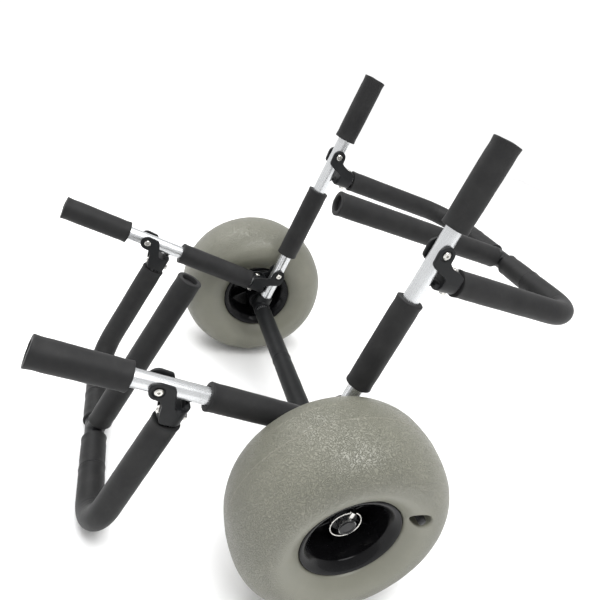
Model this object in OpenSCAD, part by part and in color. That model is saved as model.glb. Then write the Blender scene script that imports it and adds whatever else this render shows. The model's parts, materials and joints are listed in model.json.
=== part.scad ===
// Folding beach cart for a kayak or a small boat: two balloon wheels, an axle, two upright
// arms, two tail arms and two padded loops, each with a middle prong.
// X points away from the tail, Y runs along the axle and Z is up. The cart stands on its two
// wheels and on the foam of the lower loop. All sizes are in millimetres.

/* [Wheels] */
// Outer diameter of an inflated tyre
tyre_d = 318; // [290:1:340]
// Width of a tyre
tyre_w = 160; // [150:1:190]
// Wall of the hollow tyre
tyre_wall = 3.5; // [3:0.5:5]
// Outer diameter of the hub's two rim lips
hub_d = 148; // [130:1:160]
// Width of the hub over its rim lips
hub_w = 124; // [110:1:134]
// Number of ribs on each face of the hub
hub_ribs = 6; // [4:1:10]
// Distance of the valve from the middle of the wheel
valve_r = 95; // [92:1:104]
// Gap between the tyre and the foam on the arms
tyre_gap = 2.5; // [0.5:0.5:8]

/* [Tubes] */
// Diameter of every frame tube and of the axle
tube_d = 25.4; // [22:0.2:32]
// Wall of the tubes
tube_wall = 2; // [1.5:0.1:3]
// Distance between the near and the far arms
arm_spacing = 446; // [360:1:560]
// Radius of the two bends of a loop, at the middle of the tube
bend_r = 65; // [50:1:90]

/* [Foam] */
// Outer diameter of the foam sleeves
foam_d = 40.5; // [38:0.5:46]
// Outer diameter of the thinner sleeve on the axle
axle_foam_d = 35; // [32:0.5:42]
// Where the two axle sleeves meet, from the middle
axle_seam_y = 18; // [-60:1:60]
// How far the foam runs past the end of a tube
foam_overhang = 7; // [3:1:15]

/* [Upright arms] */
// From the axle to the pivot that carries the tail arm
tail_pivot = 87; // [80:1:110]
// From the axle to the start of the lower sleeve
upright_foam_start = 136; // [125:1:160]
// Length of the lower sleeve
upright_foam_low = 153; // [100:1:170]
// From the axle to the pivot that carries the upper loop
upper_pivot = 369.5; // [350:0.5:420]
// From that pivot to the start of the upper sleeve
upright_foam_gap = 35; // [34:1:60]
// Length of the upper sleeve
upright_foam_high = 124; // [80:1:180]

/* [Tail arms] */
// Length of the inner sleeve
tail_foam_low = 155; // [100:1:170]
// From the tail pivot to the pivot that carries the lower loop
lower_pivot = 274; // [260:1:330]
// From that pivot to the start of the outer sleeve
tail_foam_gap = 37; // [34:1:60]
// Length of the outer sleeve
tail_foam_high = 116; // [80:1:180]

/* [Loops] */
// From the upper pivot to the bar of the upper loop, along its legs
upper_reach = 313; // [240:1:380]
// From the lower pivot to the bar of the lower loop, along its legs
lower_reach = 286; // [240:1:340]
// Length of the foam on the upper prong
upper_prong = 354; // [200:1:380]
// Length of the foam on the lower prong
lower_prong = 320; // [200:1:340]
// Length of each sleeve on a loop's bar
bar_foam = 70; // [40:1:90]

/* [Hinges] */
// Angle between a hinged tube and the arm that carries it
open_angle = 86; // [84:0.5:90]
// Distance from a hinge's pivot to the middle of the hinged tube
hinge_offset = 38; // [38:0.5:46]
// From the pivot to the end of the hinge's socket
socket_end = 46; // [44:1:50]
// Thickness of a hinge's ears
ear_t = 5; // [4:0.5:6]
// Diameter of the bolts
bolt_d = 6; // [5:0.5:8]

/* [Hidden] */
$fn = 64;
tube_r = tube_d / 2;
foam_r = foam_d / 2;
axle_foam_r = axle_foam_d / 2;
tyre_r = tyre_d / 2;
arm_y = arm_spacing / 2;
bolt_r = bolt_d / 2;
// Clearance between pieces that sit still on each other
snug = 0.05;
// Radial clearance of a turning fit
running = 0.08;
// Clearance between pieces that pass or stop on each other
gap = 0.3;

// Hinge fitting
socket_r = tube_r + ear_t;
ear_in = tube_r + gap;
ear_out = ear_in + ear_t;
ear_r = tube_r + gap;
socket_start = tube_r + 5.3;
foam_start = socket_end + 4;
cross_bolt_x = socket_end - 8.5;
head_r = bolt_r * 1.9;
head_h = 3.2;
nut_r = bolt_r * 1.85;
nut_h = 4;
recess_r = head_r + 2.6;
recess_h = 2;

// Axle and wheel, measured outward from the middle of the axle
tee_half = 20;
tee_r = tube_r + 5;
tee_socket = 27;
wheel_y = arm_y + foam_r + tyre_gap + tyre_w / 2;
washer_t = 2;
flange_t = 2;
boss_in = arm_y + tee_half + gap + washer_t + gap + flange_t;
boss_out = wheel_y + 25;
pin_y = boss_out + flange_t + gap + washer_t + 5.7;
pin_r = 3.2;
axle_end = pin_y + 6.5;
cap_t = 2;
boss_r = tube_r + 7.5;
bush_r = tube_r + 3;
bush_len = 24;
washer_r = tube_r + 6;
hub_r = hub_d / 2;
lip_w = 11.5;
lip_h = 14;
barrel_r = hub_r - lip_h;
barrel_wall = 4;
web_t = 6;
rib_t = 4;

// Ring pin
ring_wire_r = 1.3;
ring_top = tube_r + 7.8;
ring_r = ring_top + 1;
pin_head_r = 4.3;
pin_tip = tube_r + 5.5;

// Tyre outline, rounded over the crown and sloping in from its widest radius to the rim lip
wide_r = hub_r + 36;
crown_power = 2.25;
side_power = 2;
rim_half = hub_w / 2 - 0.8;
bead_r = barrel_r - 2;
outline_steps = 14;

// Directions, in degrees above +X in the X-Z plane
function dir(a) = [cos(a), 0, sin(a)];
function tail_angle(t) = t + open_angle;
function lower_angle(t) = t + 2 * open_angle;
function upper_angle(t) = t - open_angle;
// Foot of the tail arm's line and the lower loop's line, for an upright at angle t
function tail_foot(t) = tail_pivot * dir(t) + hinge_offset * dir(tail_angle(t) + 90);
function lower_hinge(t) = tail_foot(t) + lower_pivot * dir(tail_angle(t));
function lower_foot(t) = lower_hinge(t) + hinge_offset * dir(lower_angle(t) + 90);
function lower_bar(t) = lower_foot(t) + lower_reach * dir(lower_angle(t));
function upper_hinge(t) = upper_pivot * dir(t);
function upper_foot(t) = upper_hinge(t) + hinge_offset * dir(upper_angle(t) - 90);
function upper_bar(t) = upper_foot(t) + upper_reach * dir(upper_angle(t));
// The upright leans so that the wheels and the lower loop's foam stand on one floor
bar0 = lower_bar(0);
lean = 180 + asin((tyre_r - foam_r) / norm(bar0)) - atan2(bar0.z, bar0.x);

upright_len = upper_pivot + upright_foam_gap + upright_foam_high;
tail_len = lower_pivot + tail_foam_gap + tail_foam_high;
// The origin lies on the floor, in the middle of the cart's length
tail_tip = tail_foot(lean) + tail_len * dir(tail_angle(lean));
left_end = min(tail_tip.x - foam_r * abs(sin(tail_angle(lean))),
    lower_bar(lean).x - foam_r, -tyre_r);
right_end = max(upper_bar(lean).x + foam_r, tyre_r);
origin = [-(left_end + right_end) / 2, 0, tyre_r];

foam_colour = "#38383a";
sleeve_colour = "#26282a";
alloy_colour = "#c9ccd0";
black_colour = "#1b1e21";
tyre_colour = "#85857b";
steel_colour = "#d8d8d8";

// ---- Placing -----------------------------------------------------------------------------

// A member that starts at point p and runs along angle a: local X runs along it
module along(p, a) {
    translate(origin + p)
        rotate([0, -a, 0])
            children();
}

// The upright arms: local X runs up from the axle
module on_upright(side) {
    along([0, side * arm_y, 0], lean)
        children();
}

// Hinged members have their pivot on the local +Z side
module on_tail(side) {
    along(tail_foot(lean) + [0, side * arm_y, 0], tail_angle(lean))
        mirror([0, 0, 1])
            children();
}

module on_upper(side) {
    along(upper_foot(lean) + [0, side * arm_y, 0], upper_angle(lean))
        children();
}

module on_lower(side) {
    along(lower_foot(lean) + [0, side * arm_y, 0], lower_angle(lean))
        mirror([0, 0, 1])
            children();
}

// A wheel's own frame: local Z runs outward along the axle, from the middle of the wheel
module on_wheel(side) {
    translate(origin + [0, side * wheel_y, 0])
        rotate([side > 0 ? -90 : 90, 0, 0])
            children();
}

// ---- Tubes and foam ----------------------------------------------------------------------

// A cylinder of radius r along X, from x0 to x1
module rod(r, x0, x1) {
    translate([x0, 0, 0])
        rotate([0, 90, 0])
            cylinder(h = x1 - x0, r = r);
}

// A hole of radius r across a tube, along Y
module cross_hole(r, x, z = 0, reach = tube_r + 1) {
    translate([x, reach, z])
        rotate([90, 0, 0])
            cylinder(h = 2 * reach, r = r);
}

// A hole across a tube, along Z
module upright_hole(r, x, reach = tube_r + 1) {
    translate([x, 0, -reach])
        cylinder(h = 2 * reach, r = r);
}

module tube(x0, x1) {
    difference() {
        rod(tube_r, x0, x1);
        rod(tube_r - tube_wall, x0 - 1, x1 + 1);
    }
}

module sleeve(x0, x1, r = foam_r) {
    difference() {
        rod(r, x0, x1);
        rod(tube_r + snug, x0 - 1, x1 + 1);
    }
}

// Plug in the end of a tube, with a flange that leaves the tube's edge bare
module plug(x, flange = 2, depth = 14) {
    rod(tube_r - 0.9, x, x + flange);
    difference() {
        rod(tube_r - tube_wall - snug, x - depth, x + flange / 2);
        rod(tube_r - 2 * tube_wall - snug, x - depth - 1, x);
    }
}

// ---- Hinge fitting -----------------------------------------------------------------------

// Outline of an ear in X and Z, from the pivot's round end to the flank of the socket
module ear_outline() {
    translate([0, hinge_offset])
        circle(r = ear_r);
    polygon([[-ear_r, hinge_offset], [-ear_r, hinge_offset - 13], [-ear_r + 5, hinge_offset - 21],
        [12, 9], [socket_start + 8, 0], [socket_end - 3, 0], [socket_end, 3],
        [socket_end, 13], [socket_end - 2, 16], [34, socket_r + 2.5],
        [21, socket_r + 6], [ear_r, hinge_offset - 8.5], [ear_r, hinge_offset]]);
    translate([-ear_r + 6, hinge_offset - 14])
        circle(r = 6);
}

module ear(side) {
    translate([0, side > 0 ? ear_out : -ear_in, 0])
        rotate([90, 0, 0])
            linear_extrude(ear_t)
                ear_outline();
}

// Two ears that straddle the arm, a socket for the hinged tube and a tongue that stops on
// the arm when the hinge is open
module hinge_fitting() {
    stop_r = 5;
    stop_z = -9.5;
    // Where the arm's surface lies at the height of the tongue
    drop = hinge_offset - stop_z;
    arm_x = tube_r / cos(90 - open_angle) - drop * tan(90 - open_angle);
    stop_x = arm_x + gap + stop_r + 0.05;
    color(black_colour)
        difference() {
            union() {
                ear(1);
                ear(-1);
                rod(socket_r, socket_start, socket_end);
                // Web between the ears, behind the socket's closed end
                translate([socket_start, -ear_in - 1, -8])
                    cube([6, 2 * ear_in + 2, socket_r + 10]);
                cross_tongue(stop_x, stop_z, stop_r);
            }
            rod(tube_r + snug, socket_start + 3, socket_end + 1);
            cross_hole(bolt_r + running, 0, hinge_offset, ear_out + 1);
            upright_hole(bolt_r + running, cross_bolt_x, socket_r + 5);
            for (side = [-1, 1])
                translate([0, side * (ear_out + 1), hinge_offset])
                    rotate([90 * side, 0, 0])
                        cylinder(h = recess_h + 1, r = recess_r);
            // Seats for the cross bolt's head and nut
            for (side = [-1, 1])
                translate([cross_bolt_x, 0, side > 0 ? seat_z : -seat_z - 10])
                    cylinder(h = 10, r = head_r + 1);
        }
}
// Height of the cross bolt's seats over the middle of the socket
seat_z = socket_r - 0.8;

module cross_tongue(x, z, r) {
    half = tube_r - 1;
    translate([x, half, z])
        rotate([90, 0, 0])
            cylinder(h = 2 * half, r = r);
    translate([x, -half, z - r])
        cube([socket_start + 2 - x, 2 * half, 2 * r]);
}

// Button head with a hex socket, on the end of a bolt: local Z runs out of the head
module bolt_head() {
    difference() {
        union() {
            cylinder(h = head_h - 1, r = head_r);
            translate([0, 0, head_h - 1])
                cylinder(h = 1, r1 = head_r, r2 = head_r - 1.3);
        }
        translate([0, 0, head_h - 2])
            cylinder(h = 3, r = bolt_r * 0.72, $fn = 6);
    }
}

// A pivot bolt across the ears and a cross bolt through the socket
module bolts() {
    seat_y = ear_out - recess_h;
    color(steel_colour) {
        translate([0, 0, hinge_offset])
            rotate([90, 0, 0]) {
                translate([0, 0, seat_y])
                    bolt_head();
                translate([0, 0, -seat_y - nut_h - 0.6])
                    cylinder(h = 2 * seat_y + nut_h + 0.7, r = bolt_r);
            }
        translate([cross_bolt_x, 0, 0]) {
            translate([0, 0, seat_z])
                bolt_head();
            translate([0, 0, -seat_z - nut_h - 0.6])
                cylinder(h = 2 * seat_z + nut_h + 0.7, r = bolt_r);
        }
    }
}

module nut() {
    difference() {
        cylinder(h = nut_h, r = nut_r, $fn = 6);
        translate([0, 0, -1])
            cylinder(h = nut_h + 2, r = bolt_r + snug);
    }
}

module nuts() {
    color(steel_colour) {
        translate([0, ear_out - recess_h, hinge_offset])
            rotate([-90, 0, 0])
                nut();
        translate([cross_bolt_x, 0, -seat_z])
            mirror([0, 0, 1])
                nut();
    }
}

// ---- Axle --------------------------------------------------------------------------------

module axle_tube() {
    color(alloy_colour)
        translate(origin)
            rotate([0, 0, 90])
                difference() {
                    tube(-axle_end, axle_end);
                    for (side = [-1, 1])
                        translate([side * pin_y, 0, 0])
                            rotate([90 - lean, 0, 0])
                                upright_hole(pin_r + running, 0);
                }
}

module axle_sleeve(y0, y1) {
    color(sleeve_colour)
        translate(origin)
            rotate([0, 0, 90])
                sleeve(y0, y1, axle_foam_r);
}

sleeve_stop = arm_y - tee_half - 14;

module axle_sleeve_near() {
    axle_sleeve(-sleeve_stop, axle_seam_y);
}

module axle_sleeve_far() {
    axle_sleeve(axle_seam_y, sleeve_stop);
}

// Caps on the ends of the axle, with a shallow dish in the face
module axle_end_caps() {
    color(black_colour)
        for (side = [-1, 1])
            translate(origin)
                rotate([0, 0, side * 90])
                    difference() {
                        plug(axle_end, cap_t, axle_end - pin_y - pin_r - 0.6);
                        translate([axle_end + cap_t - 0.8, 0, 0])
                            rotate([0, 90, 0])
                                cylinder(h = 1, r = tube_r - 4);
                    }
}

// The fitting that holds an upright on the axle
module axle_tees() {
    color(black_colour)
        for (side = [-1, 1])
            on_upright(side)
                difference() {
                    union() {
                        rotate([90, 0, 0])
                            cylinder(h = 2 * tee_half, r = tee_r, center = true);
                        rod(tee_r - 1, 0, tee_socket);
                    }
                    rotate([90, 0, 0])
                        cylinder(h = 2 * tee_half + 2, r = tube_r + snug, center = true);
                    rod(tube_r + snug, tube_r + 1, tee_socket + 1);
                }
}

module wheel_washers() {
    color(black_colour)
        for (side = [-1, 1], y = [arm_y + tee_half + gap, boss_out + flange_t + gap])
            translate(origin + [0, side * (y + washer_t / 2), 0])
                rotate([90, 0, 0])
                    difference() {
                        cylinder(h = washer_t, r = washer_r, center = true);
                        cylinder(h = washer_t + 1, r = tube_r + running, center = true);
                    }
}

// ---- Uprights ----------------------------------------------------------------------------

module upright(side) {
    color(alloy_colour)
        on_upright(side)
            difference() {
                tube(tube_r + 1 + gap, upright_len - foam_overhang - 2);
                cross_hole(bolt_r + running, tail_pivot);
                cross_hole(bolt_r + running, upper_pivot);
            }
}

module upright_sleeve(side, x0, length) {
    color(foam_colour)
        on_upright(side)
            sleeve(x0, x0 + length);
}

module upright_near() upright(-1);
module upright_far() upright(1);
module upright_sleeve_low_near() upright_sleeve(-1, upright_foam_start, upright_foam_low);
module upright_sleeve_low_far() upright_sleeve(1, upright_foam_start, upright_foam_low);
module upright_sleeve_high_near() {
    upright_sleeve(-1, upper_pivot + upright_foam_gap, upright_foam_high);
}
module upright_sleeve_high_far() {
    upright_sleeve(1, upper_pivot + upright_foam_gap, upright_foam_high);
}
module upright_plugs() {
    color(black_colour)
        for (side = [-1, 1])
            on_upright(side)
                plug(upright_len - foam_overhang - 2);
}

// ---- Wheels ------------------------------------------------------------------------------

// Half width of the tyre at radius r, for a tyre inset by w
function tyre_half(r, w) = r > wide_r
    ? (tyre_w / 2 - w)
        * pow(max(0, 1 - pow((r - wide_r) / (tyre_r - w - wide_r), crown_power)), 1 / crown_power)
    : tyre_w / 2 - w
        - (tyre_w / 2 - rim_half) * pow((wide_r - r) / (wide_r - hub_r), side_power);

// One side of the outline, from the crown in to the bead
function tyre_side(w) = [
    for (i = [0:outline_steps])
        let (r = wide_r + (tyre_r - w - wide_r) * cos(90 * i / outline_steps))
            [r, tyre_half(r, w)],
    for (i = [1:outline_steps])
        let (r = wide_r - (wide_r - bead_r - w) * i / outline_steps)
            [r, tyre_half(r, w)]];

module tyre_solid(w) {
    side = tyre_side(w);
    rotate_extrude()
        polygon(concat(side, [for (i = [len(side) - 1:-1:1]) [side[i].x, -side[i].y]]));
}

// The space that the hub takes up, grown by c
module hub_space(c) {
    cylinder(h = tyre_w, r = barrel_r + c, center = true);
    for (m = [0, 1])
        mirror([0, 0, m])
            translate([0, 0, hub_w / 2 - lip_w - c])
                cylinder(h = tyre_w / 2, r = hub_r + c);
}

pocket_r = 12.5;
pocket_floor = tyre_w / 2 - 26;
valve_stem_r = 4;

// Place of the valve on a wheel; the near wheel's valve shows beside its hub
valve_turn = 25;
module at_valve(side) {
    rotate([0, 0, side > 0 ? 180 - valve_turn : valve_turn])
        translate([valve_r, 0, 0])
            children();
}

module tyre(side) {
    color(tyre_colour)
        on_wheel(side)
            difference() {
                tyre_solid(0);
                difference() {
                    tyre_solid(tyre_wall);
                    hub_space(tyre_wall);
                    at_valve(side)
                        translate([0, 0, pocket_floor - tyre_wall])
                            cylinder(h = 40, r = pocket_r + tyre_wall);
                }
                hub_space(gap);
                at_valve(side) {
                    translate([0, 0, pocket_floor])
                        cylinder(h = 40, r = pocket_r);
                    translate([0, 0, pocket_floor - tyre_wall - 1])
                        cylinder(h = tyre_wall + 2, r = valve_stem_r + snug);
                }
            }
}

module tyre_near() tyre(-1);
module tyre_far() tyre(1);

// Half of the hub's rim and barrel in outline, radius across and width up
module rim_outline() {
    lip_round = 3;
    z1 = hub_w / 2;
    translate([barrel_r - barrel_wall, 0])
        square([barrel_wall, z1 - lip_w]);
    // Rim lip, which slopes in from its rounded edge to the barrel
    polygon([[barrel_r - barrel_wall, z1 - lip_w - 8], [barrel_r, z1 - lip_w - 8],
        [barrel_r, z1 - lip_w], [hub_r, z1 - lip_w], [hub_r, z1 - lip_round],
        [hub_r - lip_round, z1], [hub_r - lip_round - 3, z1], [barrel_r + 2, z1 - 5],
        [barrel_r - barrel_wall, z1 - 11]]);
    translate([hub_r - lip_round, z1 - lip_round])
        circle(r = lip_round);
}

module hub(side) {
    z_in = boss_in - wheel_y;
    z_out = boss_out - wheel_y;
    color(black_colour)
        on_wheel(side)
            difference() {
                union() {
                    for (m = [0, 1])
                        mirror([0, 0, m])
                            rotate_extrude()
                                rim_outline();
                    cylinder(h = web_t, r = barrel_r - 1, center = true);
                    translate([0, 0, z_in])
                        cylinder(h = z_out - z_in, r = boss_r);
                    // Ribs from the boss out to the barrel, on both faces of the web
                    for (i = [0:hub_ribs - 1])
                        rotate([0, 0, (i + 0.5) * 360 / hub_ribs])
                            translate([boss_r - 3, -rib_t / 2, -22])
                                cube([barrel_r - barrel_wall / 2 - boss_r + 3, rib_t, 44]);
                }
                translate([0, 0, z_in - 1])
                    cylinder(h = z_out - z_in + 2, r = bush_r + snug);
            }
}

module hub_near() hub(-1);
module hub_far() hub(1);

// Flanged bushes, one pressed into each end of the hub's boss
module hub_bushes(side) {
    ends = [[boss_in, 1], [boss_out, -1]];
    color(black_colour)
        translate(origin)
            for (e = ends)
                translate([0, side * e[0], 0])
                    rotate([-90 * side * e[1], 0, 0])
                        difference() {
                            union() {
                                cylinder(h = bush_len, r = bush_r);
                                translate([0, 0, -flange_t])
                                    cylinder(h = flange_t, r = boss_r - 1.5);
                            }
                            translate([0, 0, -flange_t - 1])
                                cylinder(h = bush_len + flange_t + 2, r = tube_r + running);
                        }
}

module hub_bushes_near() hub_bushes(-1);
module hub_bushes_far() hub_bushes(1);

module valve(side) {
    color("#b59a55")
        on_wheel(side)
            at_valve(side) {
                translate([0, 0, pocket_floor - tyre_wall - 4])
                    cylinder(h = 16, r = valve_stem_r);
                translate([0, 0, pocket_floor + gap])
                    cylinder(h = 3, r = valve_stem_r * 1.6, $fn = 6);
            }
}

module valve_cap(side) {
    stem_top = pocket_floor - tyre_wall + 12;
    color(black_colour)
        on_wheel(side)
            at_valve(side)
                difference() {
                    translate([0, 0, pocket_floor + 5])
                        cylinder(h = 14, r = valve_stem_r + 1.6);
                    translate([0, 0, pocket_floor])
                        cylinder(h = stem_top - pocket_floor + gap, r = valve_stem_r + snug);
                }
}

module valve_near() valve(-1);
module valve_far() valve(1);
module valve_cap_near() valve_cap(-1);
module valve_cap_far() valve_cap(1);

// A ring pin's own frame: local Z runs along the pin, X across it and Y along the axle
module on_pin(side) {
    translate(origin + [0, side * pin_y, 0])
        rotate([0, 90 - lean, 0])
            children();
}

module lock_pins() {
    color(steel_colour)
        for (side = [-1, 1])
            on_pin(side)
                difference() {
                    union() {
                        translate([0, 0, -pin_tip + 2])
                            cylinder(h = pin_tip + tube_r + 1, r = pin_r);
                        translate([0, 0, -pin_tip])
                            cylinder(h = 2, r1 = pin_r - 1, r2 = pin_r);
                        translate([0, 0, tube_r + gap])
                            cylinder(h = ring_top - tube_r + 3, r = pin_head_r);
                    }
                    translate([-10, 0, ring_top])
                        rotate([0, 90, 0])
                            cylinder(h = 20, r = ring_wire_r + 0.1);
                }
}

// Wire ring that swings on the head of the pin and snaps round the axle
module pin_ring(side) {
    // The wire leaves the head sideways and meets the round part of the ring
    reach = pin_head_r + ring_wire_r + 0.5;
    turn = asin(reach / ring_r);
    color(steel_colour)
        on_pin(side) {
            translate([0, 0, ring_top - ring_r * cos(turn)])
                rotate([90, 0, 0])
                    rotate([0, 0, 90 + turn])
                        rotate_extrude(angle = 360 - 2 * turn)
                            translate([ring_r, 0])
                                circle(r = ring_wire_r, $fn = 24);
            for (m = [0, 1])
                mirror([m, 0, 0])
                    translate([1.2, 0, ring_top])
                        rotate([0, 90, 0])
                            cylinder(h = reach - 1.2, r = ring_wire_r, $fn = 24);
        }
}

module pin_ring_near() pin_ring(-1);
module pin_ring_far() pin_ring(1);

// ---- Tail arms ---------------------------------------------------------------------------

module tail_hinges() {
    for (side = [-1, 1])
        on_tail(side)
            hinge_fitting();
}
module tail_bolts() {
    for (side = [-1, 1])
        on_tail(side)
            bolts();
}
module tail_nuts() {
    for (side = [-1, 1])
        on_tail(side)
            nuts();
}

module tail_tube(side) {
    color(alloy_colour)
        on_tail(side)
            difference() {
                tube(socket_start + 3 + gap, tail_len - foam_overhang - 2);
                upright_hole(bolt_r + running, cross_bolt_x);
                cross_hole(bolt_r + running, lower_pivot);
            }
}

module tail_sleeve(side, x0, length) {
    color(foam_colour)
        on_tail(side)
            sleeve(x0, x0 + length);
}

module tail_tube_near() tail_tube(-1);
module tail_tube_far() tail_tube(1);
module tail_sleeve_low_near() tail_sleeve(-1, foam_start, tail_foam_low);
module tail_sleeve_low_far() tail_sleeve(1, foam_start, tail_foam_low);
module tail_sleeve_high_near() tail_sleeve(-1, lower_pivot + tail_foam_gap, tail_foam_high);
module tail_sleeve_high_far() tail_sleeve(1, lower_pivot + tail_foam_gap, tail_foam_high);
module tail_plugs() {
    color(black_colour)
        for (side = [-1, 1])
            on_tail(side)
                plug(tail_len - foam_overhang - 2);
}

// ---- Loops -------------------------------------------------------------------------------

// A quarter bend of a round bar, from a leg at -Y to the bar: local X runs along the legs
module bend(r, reach) {
    translate([reach - bend_r, -arm_y + bend_r, 0])
        rotate([0, 0, -90])
            rotate_extrude(angle = 90)
                translate([bend_r, 0])
                    circle(r = r);
}

// Solid bar of radius r along the whole loop, with its legs starting at x0
module loop_bar(r, x0, reach) {
    for (m = [0, 1])
        mirror([0, m, 0]) {
            translate([0, -arm_y, 0])
                rod(r, x0, reach - bend_r);
            bend(r, reach);
        }
    translate([reach, 0, 0])
        rotate([0, 0, 90])
            rod(r, -arm_y + bend_r, arm_y - bend_r);
}

module loop_tube(reach) {
    color(alloy_colour)
        difference() {
            loop_bar(tube_r, socket_start + 3 + gap, reach);
            loop_bar(tube_r - tube_wall, socket_start + 2, reach);
            for (side = [-1, 1])
                translate([0, side * arm_y, 0])
                    upright_hole(bolt_r + running, cross_bolt_x);
        }
}

bar_tee_half = 24;
bar_tee_r = tube_r + 3.6;
bar_sleeve_end = bar_tee_half + gap + bar_foam;

module bar_sleeves(reach) {
    color(foam_colour)
        for (side = [-1, 1])
            translate([reach, 0, 0])
                rotate([0, 0, side * 90])
                    sleeve(bar_tee_half + gap, bar_sleeve_end);
}

// Sleeve on a leg, round the bend and on to the bar's own sleeve; side -1 is the near leg
module leg_sleeve(reach, side) {
    color(foam_colour)
        mirror([0, side > 0 ? 1 : 0, 0])
            difference() {
                union() {
                    translate([0, -arm_y, 0])
                        rod(foam_r, foam_start, reach - bend_r);
                    bend(foam_r, reach);
                    translate([reach, 0, 0])
                        rotate([0, 0, -90])
                            rod(foam_r, bar_sleeve_end, arm_y - bend_r);
                }
                translate([0, -arm_y, 0])
                    rod(tube_r + snug, foam_start - 1, reach - bend_r);
                bend(tube_r + snug, reach);
                translate([reach, 0, 0])
                    rotate([0, 0, -90])
                        rod(tube_r + snug, bar_sleeve_end - 1, arm_y - bend_r);
            }
}

// Fitting in the middle of a loop's bar, with a socket for the prong
prong_start = foam_r + 0.6;
module bar_tee(reach) {
    color(black_colour)
        translate([reach, 0, 0])
            difference() {
                union() {
                    rotate([90, 0, 0])
                        cylinder(h = 2 * bar_tee_half, r = bar_tee_r, center = true);
                    rod(bar_tee_r, -prong_start + gap, 0);
                }
                rotate([90, 0, 0])
                    cylinder(h = 2 * bar_tee_half + 2, r = tube_r + snug, center = true);
                rod(tube_r + snug, -prong_start - 1, -tube_r - 1);
            }
}

// The prong runs back from the bar between the legs, parallel to them
module prong_tube(reach, foam) {
    color(alloy_colour)
        mirror([1, 0, 0])
            translate([-reach, 0, 0])
                tube(tube_r + 1 + gap, prong_start + foam - foam_overhang - 2);
}

module prong_sleeve(reach, foam) {
    color(foam_colour)
        mirror([1, 0, 0])
            translate([-reach, 0, 0])
                sleeve(prong_start, prong_start + foam);
}

module prong_plug(reach, foam) {
    color(black_colour)
        mirror([1, 0, 0])
            translate([-reach, 0, 0])
                plug(prong_start + foam - foam_overhang - 2);
}

module upper_hinges() {
    for (side = [-1, 1])
        on_upper(side)
            hinge_fitting();
}
module upper_bolts() {
    for (side = [-1, 1])
        on_upper(side)
            bolts();
}
module upper_nuts() {
    for (side = [-1, 1])
        on_upper(side)
            nuts();
}
module upper_loop_tube() on_upper(0) loop_tube(upper_reach);
module upper_bar_sleeves() on_upper(0) bar_sleeves(upper_reach);
module upper_leg_sleeve_near() on_upper(0) leg_sleeve(upper_reach, -1);
module upper_leg_sleeve_far() on_upper(0) leg_sleeve(upper_reach, 1);
module upper_tee() on_upper(0) bar_tee(upper_reach);
module upper_prong_tube() on_upper(0) prong_tube(upper_reach, upper_prong);
module upper_prong_sleeve() on_upper(0) prong_sleeve(upper_reach, upper_prong);
module upper_prong_plug() on_upper(0) prong_plug(upper_reach, upper_prong);

module lower_hinges() {
    for (side = [-1, 1])
        on_lower(side)
            hinge_fitting();
}
module lower_bolts() {
    for (side = [-1, 1])
        on_lower(side)
            bolts();
}
module lower_nuts() {
    for (side = [-1, 1])
        on_lower(side)
            nuts();
}
module lower_loop_tube() on_lower(0) loop_tube(lower_reach);
module lower_bar_sleeves() on_lower(0) bar_sleeves(lower_reach);
module lower_leg_sleeve_near() on_lower(0) leg_sleeve(lower_reach, -1);
module lower_leg_sleeve_far() on_lower(0) leg_sleeve(lower_reach, 1);
module lower_tee() on_lower(0) bar_tee(lower_reach);
module lower_prong_tube() on_lower(0) prong_tube(lower_reach, lower_prong);
module lower_prong_sleeve() on_lower(0) prong_sleeve(lower_reach, lower_prong);
module lower_prong_plug() on_lower(0) prong_plug(lower_reach, lower_prong);

axle_tube();
axle_sleeve_near();
axle_sleeve_far();
axle_end_caps();
axle_tees();
wheel_washers();
upright_near();
upright_far();
upright_sleeve_low_near();
upright_sleeve_low_far();
upright_sleeve_high_near();
upright_sleeve_high_far();
upright_plugs();
tyre_near();
tyre_far();
hub_near();
hub_far();
hub_bushes_near();
hub_bushes_far();
valve_near();
valve_far();
valve_cap_near();
valve_cap_far();
lock_pins();
pin_ring_near();
pin_ring_far();
tail_hinges();
tail_bolts();
tail_nuts();
tail_tube_near();
tail_tube_far();
tail_sleeve_low_near();
tail_sleeve_low_far();
tail_sleeve_high_near();
tail_sleeve_high_far();
tail_plugs();
upper_hinges();
upper_bolts();
upper_nuts();
upper_loop_tube();
upper_bar_sleeves();
upper_leg_sleeve_near();
upper_leg_sleeve_far();
upper_tee();
upper_prong_tube();
upper_prong_sleeve();
upper_prong_plug();
lower_hinges();
lower_bolts();
lower_nuts();
lower_loop_tube();
lower_bar_sleeves();
lower_leg_sleeve_near();
lower_leg_sleeve_far();
lower_tee();
lower_prong_tube();
lower_prong_sleeve();
lower_prong_plug();
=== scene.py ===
import bmesh
import bpy
import json
import math
from mathutils import Matrix, Vector, noise


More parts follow.
